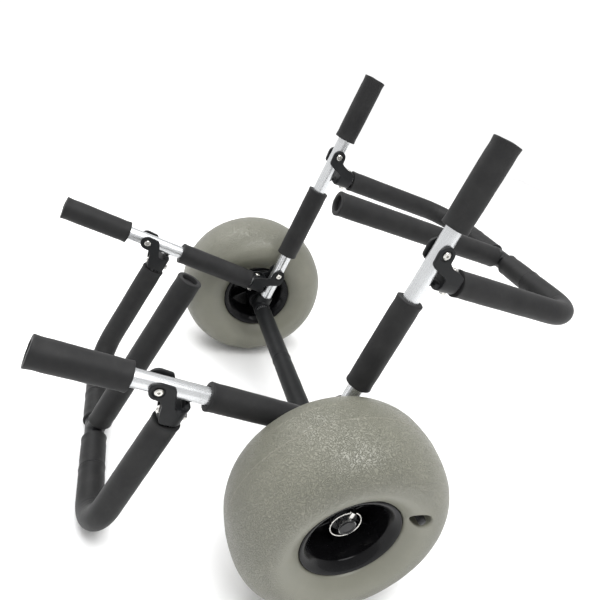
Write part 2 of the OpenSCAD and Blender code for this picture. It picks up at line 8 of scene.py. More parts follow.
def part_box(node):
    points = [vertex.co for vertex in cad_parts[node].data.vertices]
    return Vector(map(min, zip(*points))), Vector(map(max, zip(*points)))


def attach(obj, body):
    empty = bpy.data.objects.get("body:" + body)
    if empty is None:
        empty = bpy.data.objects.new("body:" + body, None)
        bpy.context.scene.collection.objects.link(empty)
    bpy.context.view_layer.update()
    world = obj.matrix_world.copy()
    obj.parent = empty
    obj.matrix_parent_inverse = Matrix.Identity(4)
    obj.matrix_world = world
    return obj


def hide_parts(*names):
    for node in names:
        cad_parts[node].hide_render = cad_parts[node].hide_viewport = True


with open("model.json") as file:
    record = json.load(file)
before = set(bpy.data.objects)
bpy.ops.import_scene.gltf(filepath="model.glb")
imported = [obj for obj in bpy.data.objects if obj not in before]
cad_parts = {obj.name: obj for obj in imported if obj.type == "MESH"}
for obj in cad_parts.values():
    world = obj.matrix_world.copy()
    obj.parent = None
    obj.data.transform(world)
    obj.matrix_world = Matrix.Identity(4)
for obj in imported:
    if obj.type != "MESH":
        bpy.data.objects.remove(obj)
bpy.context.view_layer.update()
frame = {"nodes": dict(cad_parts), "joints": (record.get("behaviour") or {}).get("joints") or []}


# ---- shader helpers

class Wire:
    # one output socket; the operators add Math nodes
    def __init__(self, tree, socket):
        self.tree = tree
        self.socket = socket

    def math(self, operation, other=None):
        node = self.tree.nodes.new("ShaderNodeMath")
        node.operation = operation
        for index, value in enumerate((self, other)):
            plug(self.tree, node.inputs[index], value)
        return Wire(self.tree, node.outputs[0])

    def __add__(self, other):
        return self.math("ADD", other)

    def __radd__(self, other):
        return self.math("ADD", other)

    def __sub__(self, other):
        return self.math("SUBTRACT", other)

    def __rsub__(self, other):
        return constant(self.tree, other).math("SUBTRACT", self)

    def __mul__(self, other):
        return self.math("MULTIPLY", other)

    def __rmul__(self, other):
        return self.math("MULTIPLY", other)

    def ramp(self, low, high, bottom=0.0, top=1.0):
        node = self.tree.nodes.new("ShaderNodeMapRange")
        node.interpolation_type = "SMOOTHSTEP"
        for name, value in (("Value", self), ("From Min", low), ("From Max", high),
                            ("To Min", bottom), ("To Max", top)):
            plug(self.tree, node.inputs[name], value)
        return Wire(self.tree, node.outputs[0])


def plug(tree, socket, value):
    if value is None:
        return
    if isinstance(value, Wire):
        tree.links.new(value.socket, socket)
    else:
        socket.default_value = value


def constant(tree, number):
    node = tree.nodes.new("ShaderNodeMath")
    node.operation = "ADD"
    node.inputs[0].default_value = number
    node.inputs[1].default_value = 0.0
    return Wire(tree, node.outputs[0])


class Finish:
    # a material with one Principled shader
    def __init__(self, name):
        self.material = bpy.data.materials.new(name)
        self.material.use_nodes = True
        self.tree = self.material.node_tree
        self.shader = self.tree.nodes["Principled BSDF"]

    def node(self, kind, settings=None, inputs=None, output=0):
        made = self.tree.nodes.new(kind)
        for key, value in (settings or {}).items():
            setattr(made, key, value)
        for key, value in (inputs or {}).items():
            plug(self.tree, made.inputs[key], value)
        return Wire(self.tree, made.outputs[output])

    # object coordinates measured from a centre
    def place(self, scale=(1, 1, 1), centre=(0, 0, 0)):
        spot = self.node("ShaderNodeTexCoord", output="Object")
        moved = self.node("ShaderNodeVectorMath", {"operation": "SUBTRACT"}, {0: spot, 1: centre})
        return self.node("ShaderNodeMapping", inputs={"Vector": moved, "Scale": scale})

    def noise(self, vector, scale, detail=2.0, roughness=0.5, distortion=0.0):
        return self.node("ShaderNodeTexNoise", inputs={
            "Vector": vector, "Scale": scale, "Detail": detail, "Roughness": roughness,
            "Distortion": distortion})

    def mix(self, factor, first, second):
        made = self.tree.nodes.new("ShaderNodeMix")
        made.data_type = "RGBA"
        plug(self.tree, made.inputs[0], factor)
        for index, value in ((6, first), (7, second)):
            plug(self.tree, made.inputs[index], value if isinstance(value, Wire) else (*value, 1.0))
        return Wire(self.tree, made.outputs[2])

    def parts(self, vector):
        made = self.tree.nodes.new("ShaderNodeSeparateXYZ")
        plug(self.tree, made.inputs[0], vector)
        return [Wire(self.tree, made.outputs[i]) for i in range(3)]

    def bump(self, height, distance, strength=1.0, under=None):
        return self.node("ShaderNodeBump", inputs={
            "Height": height, "Distance": distance, "Strength": strength, "Normal": under})

    def set(self, **values):
        names = {"color": "Base Color", "rough": "Roughness", "metal": "Metallic",
                 "normal": "Normal", "specular": "Specular IOR Level"}
        for key, value in values.items():
            if key == "color" and not isinstance(value, Wire):
                value = (*value, 1.0)
            plug(self.tree, self.shader.inputs[names[key]], value)
        return self.material


# ---- where things are, in metres, the same sizes as the frame's

cart = {
    "foamRadius": 0.02025, "tubeRadius": 0.0127, "armY": 0.223, "openAngle": 86.0,
    "hingeOffset": 0.038, "foamStart": 0.050, "bendRadius": 0.065,
    "fittingHalf": 0.020, "washer": 0.002, "bushFlange": 0.002, "gap": 0.0003, "weld": 0.00001,
}
axle = (Vector(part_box("axle_tube")[0]) + Vector(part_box("axle_tube")[1])) / 2
joints = {joint["name"]: Vector(joint["pos_m"]) for joint in frame["joints"] if "pos_m" in joint}
tailPivot = joints["tail_arm_fold"]
lean = math.degrees(math.atan2(tailPivot.z - axle.z, tailPivot.x - axle.x))
wheelY = joints["far_wheel_spin"].y


def heading(angle):
    return Vector((math.cos(math.radians(angle)), 0, math.sin(math.radians(angle))))


# frame of a straight member: local X along it, local Y across the cart
def member(point, angle, y):
    place = Matrix.Rotation(math.radians(-angle), 4, "Y")
    place.translation = Vector((point.x, y, point.z))
    return place


tailAngle = lean + cart["openAngle"]
upperAngle = lean - cart["openAngle"]
lowerAngle = lean + 2 * cart["openAngle"]
tailFoot = tailPivot + cart["hingeOffset"] * heading(tailAngle + 90)
upperFoot = joints["upper_loop_fold"] + cart["hingeOffset"] * heading(upperAngle - 90)
lowerFoot = joints["lower_loop_fold"] + cart["hingeOffset"] * heading(lowerAngle + 90)


# ---- mesh helpers

def finishMesh(bm, name, material, place=None, smooth=True):
    bmesh.ops.recalc_face_normals(bm, faces=bm.faces)
    mesh = bpy.data.meshes.new(name)
    bm.to_mesh(mesh)
    bm.free()
    if place is not None:
        mesh.transform(place)
        if place.determinant() < 0:
            mesh.flip_normals()
    for face in mesh.polygons:
        face.use_smooth = smooth
    piece = bpy.data.objects.new(name, mesh)
    bpy.context.collection.objects.link(piece)
    mesh.materials.append(material)
    return piece


# pulls a new ring of edges out of a ring, in the same place
def extrudeRing(bm, ringEdges):
    made = bmesh.ops.extrude_edge_only(bm, edges=ringEdges)["geom"]
    verts = [item for item in made if isinstance(item, bmesh.types.BMVert)]
    edges = [item for item in made if isinstance(item, bmesh.types.BMEdge)
             and all(vert in verts for vert in item.verts)]
    return verts, edges


def edgesOf(verts):
    return list({edge for vert in verts for edge in vert.link_edges})


def bevelSharp(bm, offset, segments):
    sharp = [edge for edge in bm.edges
             if len(edge.link_faces) == 2 and edge.calc_face_angle(0) > math.radians(60)]
    bmesh.ops.bevel(bm, geom=sharp, affect="EDGES", offset=offset, segments=segments,
                    profile=0.5, material=-1)


# turns a closed outline of (radius, height) points about Z
def spinOutline(bm, outline, steps):
    verts = [bm.verts.new((radius, 0, height)) for radius, height in outline]
    edges = [bm.edges.new((verts[i], verts[(i + 1) % len(verts)])) for i in range(len(verts))]
    bmesh.ops.spin(bm, geom=verts + edges, cent=(0, 0, 0), axis=(0, 0, 1), angle=2 * math.pi,
                   steps=steps, use_merge=True)
    bmesh.ops.remove_doubles(bm, verts=bm.verts, dist=cart["weld"])


def applyModifiers(piece):
    view = bpy.context.evaluated_depsgraph_get()
    mesh = bpy.data.meshes.new_from_object(piece.evaluated_get(view))
    piece.modifiers.clear()
    old = piece.data
    piece.data = mesh
    bpy.data.meshes.remove(old)


# ---- foam

foam = {
    "color": (0.0130, 0.0130, 0.0135), "worn": (0.0215, 0.0215, 0.0215), "rough": 0.52,
    "axleColor": (0.0055, 0.0060, 0.0065), "axleWorn": (0.0095, 0.0100, 0.0105),
    "cell": 850.0, "cellDepth": 0.00008, "dent": 60.0, "dentDepth": 0.0008, "gloss": 0.14,
}


def foamFinish(name, base, worn):
    made = Finish(name)
    spot = made.place()
    cells = made.noise(spot, foam["cell"], 3.0, 0.6)
    patches = made.noise(spot, 22.0, 4.0, 0.6)
    rubs = made.noise(spot, 70.0, 3.0, 0.7).ramp(0.52, 0.72)
    tone = patches.ramp(0.3, 0.72) * 0.75 + rubs * 0.25
    shade = made.mix(tone, base, worn)
    shade = made.mix(cells.ramp(0.62, 0.8) * 0.25, shade, tuple(c * 0.55 for c in base))
    dents = made.noise(spot, foam["dent"], 2.0)
    relief = made.bump(cells, foam["cellDepth"], 0.6)
    relief = made.bump(dents, foam["dentDepth"], 0.35, relief)
    return made.set(color=shade, rough=foam["rough"] + (patches - 0.5) * 0.14 - rubs * 0.05,
                    normal=relief, specular=foam["gloss"])


armFoam = foamFinish("armFoam", foam["color"], foam["worn"])
axleFoam = foamFinish("axleFoam", foam["axleColor"], foam["axleWorn"])

sleeve = {
    "segments": 56, "step": 0.0045, "edge": 0.0013, "lip": 0.0006, "lipLength": 0.004,
    "neck": 0.0004, "neckPlace": 0.011, "neckWidth": 0.006, "waver": 0.00028,
    "skew": 0.0006, "skewLength": 0.010, "bore": 0.0001, "bendSteps": 44,
}
# folds in the foam on the inside of a bend, with a swelling on each side of a fold
crease = {"places": (0.30, 0.52, 0.74), "depth": 0.00035, "width": 0.0022,
          "swell": 0.45, "swellPlace": 0.0055, "swellWidth": 0.003}


# sleeve along a list of stations, each a matrix whose X runs along the path
def makeSleeve(name, stations, radius, material, body, nodes, seed, creases=()):
    bm = bmesh.new()
    ring = bmesh.ops.create_circle(bm, segments=sleeve["segments"], radius=radius, cap_ends=False)
    turn = Matrix.Rotation(math.pi / 2, 4, "Y")
    ringVerts = ring["verts"]
    bmesh.ops.transform(bm, matrix=stations[0][0] @ turn, verts=ringVerts)
    edges = edgesOf(ringVerts)
    rings = [ringVerts]
    for earlier, later in zip(stations, stations[1:]):
        ringVerts, edges = extrudeRing(bm, edges)
        bmesh.ops.transform(bm, matrix=later[0] @ earlier[0].inverted(), verts=ringVerts)
        rings.append(ringVerts)
    total = stations[-1][1]
    shift = Vector((seed * 7.3, seed * 3.1, seed * 1.7))
    for verts, (frameHere, run) in zip(rings, stations):
        centre = frameHere.translation
        along = frameHere.to_3x3() @ Vector((1, 0, 0))
        inward = frameHere.to_3x3() @ Vector((0, 1, 0))
        ends = min(run, total - run)
        for vert in verts:
            out = (vert.co - centre).normalized()
            swell = noise.noise(vert.co * 26 + shift) + 0.5 * noise.noise(vert.co * 70 + shift)
            swell *= sleeve["waver"]
            swell += sleeve["lip"] * math.exp(-ends / sleeve["lipLength"])
            swell -= sleeve["neck"] * math.exp(-((ends - sleeve["neckPlace"]) / sleeve["neckWidth"]) ** 2)
            side = max(0.0, out.dot(inward)) ** 1.5
            for place in creases:
                away = abs(run - place)
                fold = math.exp(-(away / crease["width"]) ** 2)
                beside = math.exp(-((away - crease["swellPlace"]) / crease["swellWidth"]) ** 2)
                swell -= crease["depth"] * side * (fold - crease["swell"] * beside)
            vert.co = vert.co + out * swell
            lift = noise.noise(out * 1.2 + shift * 2) * math.exp(-ends / sleeve["skewLength"])
            lift *= sleeve["skew"]
            vert.co += along * lift * (1 if run > total / 2 else -1)
    bmesh.ops.recalc_face_normals(bm, faces=bm.faces)
    wall = radius - cart["tubeRadius"] - sleeve["bore"]
    bmesh.ops.solidify(bm, geom=bm.faces[:], thickness=wall)
    bmesh.ops.recalc_face_normals(bm, faces=bm.faces)
    bevelSharp(bm, sleeve["edge"], 3)
    piece = finishMesh(bm, name, material)
    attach(piece, body)
    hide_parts(*nodes)
    return piece


# stations of a straight sleeve
def straight(base, start, stop):
    length = stop - start
    count = max(2, round(length / sleeve["step"]))
    runs = [length * i / count for i in range(count + 1)]
    return [(base @ Matrix.Translation((start + run, 0, 0)), run) for run in runs]


sides = {"near": -1, "far": 1}
# start along the member, and length
lengths = {
    "uprightLow": (0.136, 0.153), "uprightHigh": (0.4045, 0.124),
    "tailLow": (0.050, 0.155), "tailHigh": (0.311, 0.116),
}
seed = 1
for word, side in sides.items():
    upright = member(axle, lean, side * cart["armY"])
    tail = member(tailFoot, tailAngle, side * cart["armY"])
    for base, key, node, body in (
            (upright, "uprightLow", "upright_sleeve_low_", "frame"),
            (upright, "uprightHigh", "upright_sleeve_high_", "frame"),
            (tail, "tailLow", "tail_sleeve_low_", "tail_arms"),
            (tail, "tailHigh", "tail_sleeve_high_", "tail_arms")):
        start, length = lengths[key]
        seed += 1
        makeSleeve(key + word.capitalize() + "Foam", straight(base, start, start + length),
                   cart["foamRadius"], armFoam, body, [node + word], seed)

axleSleeve = {"end": 0.189, "seam": 0.018, "radius": 0.0175, "seeds": {"near": 31, "far": 32}}
axleFrame = Matrix.Rotation(math.pi / 2, 4, "Z")
axleFrame.translation = axle
for word, side in sides.items():
    start, stop = sorted((side * axleSleeve["end"], axleSleeve["seam"]))
    makeSleeve("axleFoam" + word.capitalize(), straight(axleFrame, start, stop), axleSleeve["radius"],
               axleFoam, "frame", ["axle_sleeve_" + word], axleSleeve["seeds"][word])
print("straight sleeves done")

loops = {
    "upper": {"foot": upperFoot, "angle": upperAngle, "reach": 0.313, "prong": 0.354},
    "lower": {"foot": lowerFoot, "angle": lowerAngle, "reach": 0.286, "prong": 0.320},
}
barSleeve = {"start": 0.0243, "length": 0.070, "prongStart": 0.02085}


# stations down a leg, round its bend and on to the bar
def legStations(loop, side):
    y = side * cart["armY"]
    base = member(loop["foot"], loop["angle"], 0)
    bend = cart["bendRadius"]
    bendStart = loop["reach"] - bend
    made = []
    # local frame whose Y points to the middle of the loop
    lay = Matrix.Identity(4)
    lay[1][1] = -side
    lay[2][2] = -side
    start = cart["foamStart"]
    count = round((bendStart - start) / sleeve["step"])
    for i in range(count + 1):
        x = start + (bendStart - start) * i / count
        made.append((base @ Matrix.Translation((x, y, 0)) @ lay, x - start))
    run = bendStart - start
    for i in range(1, sleeve["bendSteps"] + 1):
        angle = math.pi / 2 * i / sleeve["bendSteps"]
        centre = Matrix.Translation((bendStart, y - side * bend, 0))
        swing = centre @ Matrix.Rotation(-side * angle, 4, "Z") @ Matrix.Translation((0, side * bend, 0))
        made.append((base @ (swing @ lay), run + bend * angle))
    run += bend * math.pi / 2
    last = made[-1][0]
    rest = cart["armY"] - bend - barSleeve["start"] - barSleeve["length"]
    count = max(2, round(rest / sleeve["step"]))
    for i in range(1, count + 1):
        x = rest * i / count
        made.append((last @ Matrix.Translation((x, 0, 0)), run + x))
    return made, bendStart - start


for name, loop in loops.items():
    body = name + "_loop"
    for word, side in sides.items():
        seed += 1
        stations, bendRun = legStations(loop, side)
        arc = cart["bendRadius"] * math.pi / 2
        creases = [bendRun + arc * place for place in crease["places"]]
        makeSleeve(name + "LegFoam" + word.capitalize(), stations, cart["foamRadius"], armFoam, body,
                   [name + "_leg_sleeve_" + word], seed, creases)
    middle = member(loop["foot"], loop["angle"], 0)
    bar = middle @ Matrix.Translation((loop["reach"], 0, 0)) @ Matrix.Rotation(math.pi / 2, 4, "Z")
    stop = barSleeve["start"] + barSleeve["length"]
    for word, side in sides.items():
        seed += 1
        ends = (barSleeve["start"], stop) if side > 0 else (-stop, -barSleeve["start"])
        makeSleeve(name + "BarFoam" + word.capitalize(), straight(bar, *ends), cart["foamRadius"],
                   armFoam, body, [name + "_bar_sleeves"], seed)
    prong = middle @ Matrix.Translation((loop["reach"], 0, 0)) @ Matrix.Rotation(math.pi, 4, "Z")
    seed += 1
    start = barSleeve["prongStart"]
    makeSleeve(name + "ProngFoam", straight(prong, start, start + loop["prong"]), cart["foamRadius"],
               armFoam, body, [name + "_prong_sleeve"], seed)
print("loop sleeves done")

# ---- tyres

tyre = {
    "radius": 0.159, "width": 0.160, "wideRadius": 0.110, "rimHalf": 0.0612, "rim": 0.0743,
    "crownPower": 2.25, "sidePower": 2.0, "seatHalf": 0.0508, "bore": 0.0605,
    "seams": (0.0, -0.037), "seamHeight": 0.00030, "seamTop": 0.0004, "seamFoot": 0.0011,
    "swell": 0.0007, "swellFine": 0.0003, "swellStart": 0.080, "swellFade": 0.02,
    "steps": 240, "color": (0.140, 0.140, 0.110), "light": (0.182, 0.180, 0.143),
    "seamColor": (0.27, 0.26, 0.215), "rough": 0.40, "grain": 370.0, "creaseWidth": 0.13,
    "grainDepth": 0.0010, "evenBelow": 0.046, "valveRadius": 0.095, "valveTurn": 25.0,
}
pocket = {
    "radius": 0.0134, "edge": 0.0032, "edgeSteps": 8, "depth": 0.0260, "floorGap": 0.0005,
    "skirt": 0.0008, "cut": 0.0030, "cutRound": 0.0006, "stemHole": 0.0043, "segments": 64,
    # how far each ring of the wall lies inside the radius, and its share of the way down
    "walls": ((0.0002, 0.35), (0.0004, 0.7), (0.0009, 0.95), (0.0024, 1.0)),
}


# half width of the tyre at a radius
def tyreHalf(radius):
    wide = tyre["wideRadius"]
    if radius > wide:
        part = (radius - wide) / (tyre["radius"] - wide)
        power = tyre["crownPower"]
        return tyre["width"] / 2 * max(0.0, 1 - part ** power) ** (1 / power)
    fall = ((wide - radius) / (wide - tyre["rim"])) ** tyre["sidePower"]
    return tyre["width"] / 2 - (tyre["width"] / 2 - tyre["rimHalf"]) * fall


# outline points (radius, height) from the inner rim over the crown to the outer rim
def tyreOutline():
    wide = tyre["wideRadius"]
    points = []
    count = 26
    for i in range(count + 1):
        angle = math.pi / 2 * i / count
        radius = wide + (tyre["radius"] - wide) * math.sin(angle) ** 0.8
        points.append((radius, tyreHalf(radius)))
    low = [wide - (wide - tyre["rim"]) * i / 12 for i in range(12, 0, -1)]
    upper = [(radius, tyreHalf(radius)) for radius in low] + points
    # the crown needs even points across the middle
    crown = []
    for height in [millimetres / 1000 for millimetres in range(44, 0, -3)]:
        part = (1 - (height / (tyre["width"] / 2)) ** tyre["crownPower"]) ** (1 / tyre["crownPower"])
        crown.append((wide + (tyre["radius"] - wide) * part, height))
    upper = [p for p in upper if p[1] > tyre["evenBelow"] or p[0] < wide] + crown
    return [(r, -h) for r, h in upper] + [(r, h) for r, h in reversed(upper)]


# turns a wheel's own frame, Z outward, into the cart's frame
def wheelPlace(side):
    spin = Matrix.Rotation(math.radians(-90 if side > 0 else 90), 4, "X")
    spin.translation = Vector((axle.x, side * wheelY, axle.z))
    return spin


# raised lines of the mould, added where the outline passes their heights
def addSeams(points):
    top, foot = tyre["seamTop"], tyre["seamFoot"]
    made = []
    for (r0, h0), (r1, h1) in zip(points, points[1:]):
        made.append((r0, h0))
        for seam in tyre["seams"]:
            for offset, lift in ((-foot, 0.0), (-top, 1.0), (top, 1.0), (foot, 0.0)):
                height = seam + offset
                if h0 < height < h1:
                    t = (height - h0) / (h1 - h0)
                    made.append((r0 + (r1 - r0) * t + lift * tyre["seamHeight"], height))
    made.append(points[-1])
    return made


# slight unevenness of an inflated skin
def swellSkin(bm, side):
    shift = Vector((3.0 * side, 1.0, 2.0))
    for vert in bm.verts:
        radius = math.hypot(vert.co.x, vert.co.y)
        if radius > tyre["swellStart"]:
            out = Vector((vert.co.x, vert.co.y, vert.co.z * 0.6)).normalized()
            swell = noise.noise(vert.co * 17 + shift) * tyre["swell"]
            swell += noise.noise(vert.co * 45 + shift) * tyre["swellFine"]
            swell *= min(1.0, (radius - tyre["swellStart"]) / tyre["swellFade"])
            vert.co += out * (swell - tyre["swellFine"])


# angle of the valve in its wheel's own frame
def valveTurn(side):
    return math.radians(180 - tyre["valveTurn"] if side > 0 else tyre["valveTurn"])


# the valve's pocket: a round hole in the outer wall, filled by a cup
def addPocket(bm, side):
    turn = valveTurn(side)
    middle = Vector((tyre["valveRadius"] * math.cos(turn), tyre["valveRadius"] * math.sin(turn), 0))
    reach = pocket["radius"] + pocket["edge"]
    opening = reach + pocket["cut"]
    gone = []
    for face in bm.faces:
        centre = face.calc_center_median()
        outer = centre.z > tyre["width"] / 4
        if outer and (Vector((centre.x, centre.y, 0)) - middle).length < opening:
            gone.append(face)
    bmesh.ops.delete(bm, geom=gone, context="FACES")
    rim = [edge for edge in bm.edges if len(edge.link_faces) == 1]
    rimVerts = list({vert for edge in rim for vert in edge.verts})
    for vert in rimVerts:
        away = Vector((vert.co.x, vert.co.y, 0)) - middle
        away = away.normalized() * (opening + pocket["cutRound"])
        spot = middle + away
        vert.co = Vector((spot.x, spot.y, tyreHalf(spot.length)))
    # rings of the cup, from its edge down to its floor
    edgeRadius, wallRadius = pocket["edge"], pocket["radius"]
    floor = tyre["width"] / 2 - pocket["depth"] - pocket["floorGap"]
    walls = []
    for i in range(pocket["edgeSteps"] + 1):
        angle = math.pi / 2 * i / pocket["edgeSteps"]
        drop = edgeRadius * (1 - math.cos(angle))
        walls.append((wallRadius + edgeRadius * (1 - math.sin(angle)), drop, False))
    walls += [(wallRadius - inset, share, True) for inset, share in pocket["walls"]]
    walls.append((pocket["stemHole"], 1.0, True))
    circle = bmesh.ops.create_circle(bm, segments=pocket["segments"], radius=reach + pocket["skirt"],
                                     cap_ends=False, matrix=Matrix.Translation(middle))
    ringVerts = circle["verts"]
    ringEdges = edgesOf(ringVerts)
    mouth = ringEdges
    for vert in ringVerts:
        vert.co.z = tyreHalf(math.hypot(vert.co.x, vert.co.y))
    for radius, drop, deep in walls:
        ringVerts, ringEdges = extrudeRing(bm, ringEdges)
        for vert in ringVerts:
            away = (Vector((vert.co.x, vert.co.y, 0)) - middle).normalized() * radius
            spot = middle + away
            top = tyreHalf(spot.length)
            if deep:
                start = top - edgeRadius
                vert.co = Vector((spot.x, spot.y, start + (floor - start) * drop))
            else:
                vert.co = Vector((spot.x, spot.y, top - drop))
    bmesh.ops.contextual_create(bm, geom=ringEdges)
    bmesh.ops.bridge_loops(bm, edges=rim + mouth)


def makeTyre(word, side, material):
    channel = [(tyre["rim"], tyre["seatHalf"]), (tyre["bore"], tyre["seatHalf"]),
               (tyre["bore"], -tyre["seatHalf"]), (tyre["rim"], -tyre["seatHalf"])]
    bm = bmesh.new()
    spinOutline(bm, addSeams(tyreOutline()) + channel, tyre["steps"])
    swellSkin(bm, side)
    addPocket(bm, side)
    piece = finishMesh(bm, "tyre" + word.capitalize(), material, wheelPlace(side))
    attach(piece, word + "_wheel")
    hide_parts("tyre_" + word)


def tyreFinish(name, side):
    made = Finish(name)
    spot = made.place(centre=(axle.x, side * wheelY, axle.z))
    x, y, z = made.parts(spot)
    outward = y * side
    flat = made.node("ShaderNodeCombineXYZ", inputs={"X": x, "Z": z})
    radius = made.node("ShaderNodeVectorMath", {"operation": "LENGTH"}, {0: flat}, output=1)
    # the grain covers the crown and shoulders and fades out round the hub
    grainMask = radius.ramp(0.096, 0.122) * outward.ramp(-0.078, -0.045, 0.25, 1.0)
    crown = outward.math("ABSOLUTE").ramp(0.055, 0.083, 1.0, 0.0)
    grainMask = grainMask.math("MAXIMUM", crown * radius.ramp(0.12, 0.135))
    grain = made.noise(spot, tyre["grain"], 0.0, 0.4, 0.7)
    creases = (grain - 0.5).math("ABSOLUTE").ramp(0.0, tyre["creaseWidth"])
    swells = made.noise(spot, 520.0, 1.0, 0.5, 0.6)
    relief = creases * 0.9 + swells * 0.12
    patches = made.noise(spot, 9.0, 4.0, 0.6)
    dust = made.noise(spot, 34.0, 5.0, 0.65).ramp(0.45, 0.75)
    fine = made.noise(spot, 1200.0, 2.0)
    shade = made.mix(patches.ramp(0.25, 0.75) * 0.6 + dust * 0.2, tyre["color"], tyre["light"])
    # painted shade: the colour is darkened along the creases of the grain
    creaseShadeColor = tuple(c * 0.72 for c in tyre["color"])
    shade = made.mix((1 - creases) * grainMask * 0.30, shade, creaseShadeColor)
    seamMask = outward.math("ABSOLUTE").ramp(0.0006, 0.0014, 1.0, 0.0)
    second = (outward - tyre["seams"][1]).math("ABSOLUTE").ramp(0.0006, 0.0014, 1.0, 0.0)
    shade = made.mix((seamMask + second * 0.6) * 0.30, shade, tyre["seamColor"])
    rough = tyre["rough"] + (patches - 0.5) * 0.12 + dust * 0.06 + (1 - creases) * grainMask * 0.08
    normal = made.bump(relief * grainMask, tyre["grainDepth"], 1.0)
    normal = made.bump(fine, 0.00003, 0.5, normal)
    return made.set(color=shade, rough=rough, normal=normal, specular=0.50)


for word, side in sides.items():
    makeTyre(word, side, tyreFinish("tyreSkin" + word.capitalize(), side))
print("tyres done")

# ---- metals and moulded plastics

# noise drawn out along one direction, as drawing and brushing leave it
def streaks(made, along, scale, stretch, centre=(0, 0, 0)):
    spot = made.place(centre=centre)
    run = made.node("ShaderNodeVectorMath", {"operation": "DOT_PRODUCT"}, {0: spot, 1: along}, output=1)
    back = made.node("ShaderNodeVectorMath", {"operation": "SCALE"}, {0: along, "Scale": run * (1 - stretch)})
    squeezed = made.node("ShaderNodeVectorMath", {"operation": "SUBTRACT"}, {0: spot, 1: back})
    return made.noise(squeezed, scale, 3.0, 0.6)


# the axle's entry darkens its alloy: painted shade for the shade round the axle inside the hubs
alloy = {"color": (0.60, 0.61, 0.62), "dull": (0.48, 0.49, 0.50), "rough": 0.27, "lines": 900.0,
         "axleShade": 0.55}


# shade scales the colour down; below 1 it makes a painted-shade copy of the alloy
def alloyFinish(name, along, shade=1.0):
    made = Finish(name)
    lines = streaks(made, along, alloy["lines"], 0.02)
    clouds = made.noise(made.place(), 30.0, 4.0, 0.6)
    rubs = made.noise(made.place(), 120.0, 4.0, 0.7).ramp(0.58, 0.72)
    tone = made.mix(clouds.ramp(0.3, 0.75) * 0.3 + lines.ramp(0.35, 0.7) * 0.25,
                    tuple(c * shade for c in alloy["color"]), tuple(c * shade for c in alloy["dull"]))
    return made.set(color=tone, metal=0.9, rough=alloy["rough"] + (lines - 0.5) * 0.08 + rubs * 0.04,
                    normal=made.bump(lines, 0.000008, 0.3))


plastics = {
    "blackNylon": {"base": (0.0050, 0.0055, 0.0062), "worn": (0.013, 0.014, 0.015),
                   "rough": 0.42, "grain": 1500.0, "depth": 0.00003, "gloss": 0.22},
    "capPlastic": {"base": (0.016, 0.016, 0.017), "worn": (0.034, 0.034, 0.035),
                   "rough": 0.45, "grain": 1300.0, "depth": 0.00003, "gloss": 0.22},
    "stubPlastic": {"base": (0.030, 0.030, 0.031), "worn": (0.050, 0.050, 0.051),
                    "rough": 0.50, "grain": 900.0, "depth": 0.00004, "gloss": 0.22},
    "bushPlastic": {"base": (0.010, 0.010, 0.011), "worn": (0.022, 0.022, 0.023),
                    "rough": 0.35, "grain": 1200.0, "depth": 0.00002, "gloss": 0.22},
    "hubGloss": {"base": (0.0035, 0.0035, 0.0040), "worn": (0.0085, 0.0085, 0.0095),
                 "rough": 0.16, "grain": 700.0, "depth": 0.000004, "gloss": 0.14},
}


def mouldFinish(name, base, worn, rough, grain, depth, gloss):
    made = Finish(name)
    spot = made.place()
    pits = made.noise(spot, grain, 2.0, 0.5)
    clouds = made.noise(spot, 40.0, 4.0, 0.6)
    scuffs = made.noise(spot, 160.0, 5.0, 0.7).ramp(0.60, 0.74)
    shade = made.mix(clouds.ramp(0.35, 0.8) * 0.35 + scuffs * 0.35, base, worn)
    return made.set(color=shade, rough=rough + (clouds - 0.5) * 0.12 + scuffs * 0.10, specular=gloss,
                    normal=made.bump(pits, depth, 0.5))


metals = {
    "brightSteel": {"base": (0.60, 0.59, 0.56), "dull": (0.42, 0.41, 0.39), "rough": 0.24},
    "valveBrass": {"base": (0.52, 0.36, 0.13), "dull": (0.36, 0.24, 0.09), "rough": 0.30},
}


def metalFinish(name, base, dull, rough):
    made = Finish(name)
    spot = made.place()
    clouds = made.noise(spot, 150.0, 3.0, 0.6)
    scratches = made.noise(made.place(scale=(1, 1, 0.12)), 1400.0, 3.0, 0.6)
    shade = made.mix(clouds.ramp(0.35, 0.75) * 0.7, base, dull)
    return made.set(color=shade, metal=1.0, rough=rough + (clouds - 0.5) * 0.14 + (scratches - 0.5) * 0.10,
                    normal=made.bump(scratches, 0.00001, 0.4))


nylon, capPlastic, stubPlastic, bushPlastic, hubGloss = [
    mouldFinish(name, **values) for name, values in plastics.items()]
steel, brass = [metalFinish(name, **values) for name, values in metals.items()]
# painted shade: the axle's alloy is a darker copy of the tube alloy
axleAlloy = alloyFinish("axleAlloy", (0, 1, 0), alloy["axleShade"])
memberAlloy = {
    "frame": alloyFinish("uprightAlloy", heading(lean)),
    "tail_arms": alloyFinish("tailAlloy", heading(tailAngle)),
    "upper_loop": alloyFinish("upperAlloy", heading(upperAngle)),
    "lower_loop": alloyFinish("lowerAlloy", heading(lowerAngle)),
}
looks = {
    "axle_tube": axleAlloy, "axle_end_caps": stubPlastic, "wheel_washers": nylon, "lock_pins": steel,
    "upright_near": memberAlloy["frame"], "upright_far": memberAlloy["frame"],
    "tail_tube_near": memberAlloy["tail_arms"], "tail_tube_far": memberAlloy["tail_arms"],
    "upper_loop_tube": memberAlloy["upper_loop"], "upper_prong_tube": memberAlloy["upper_loop"],
    "lower_loop_tube": memberAlloy["lower_loop"], "lower_prong_tube": memberAlloy["lower_loop"],
}
for node in frame["nodes"]:
    if "plug" in node:
        looks[node] = capPlastic
    elif "bolts" in node or "nuts" in node:
        looks[node] = steel
    elif node.startswith("hub_bushes"):
        looks[node] = bushPlastic
    elif node.startswith("valve_") and "cap" not in node:
        looks[node] = brass
for node, look in looks.items():
    for slot in frame["nodes"][node].material_slots:
        slot.material = look
print("finishes done")

# ---- moulded fittings: the frame's shapes with their edges rounded off

fitting = {"voxel": 0.00075, "smooth": 0.5, "passes": 5}


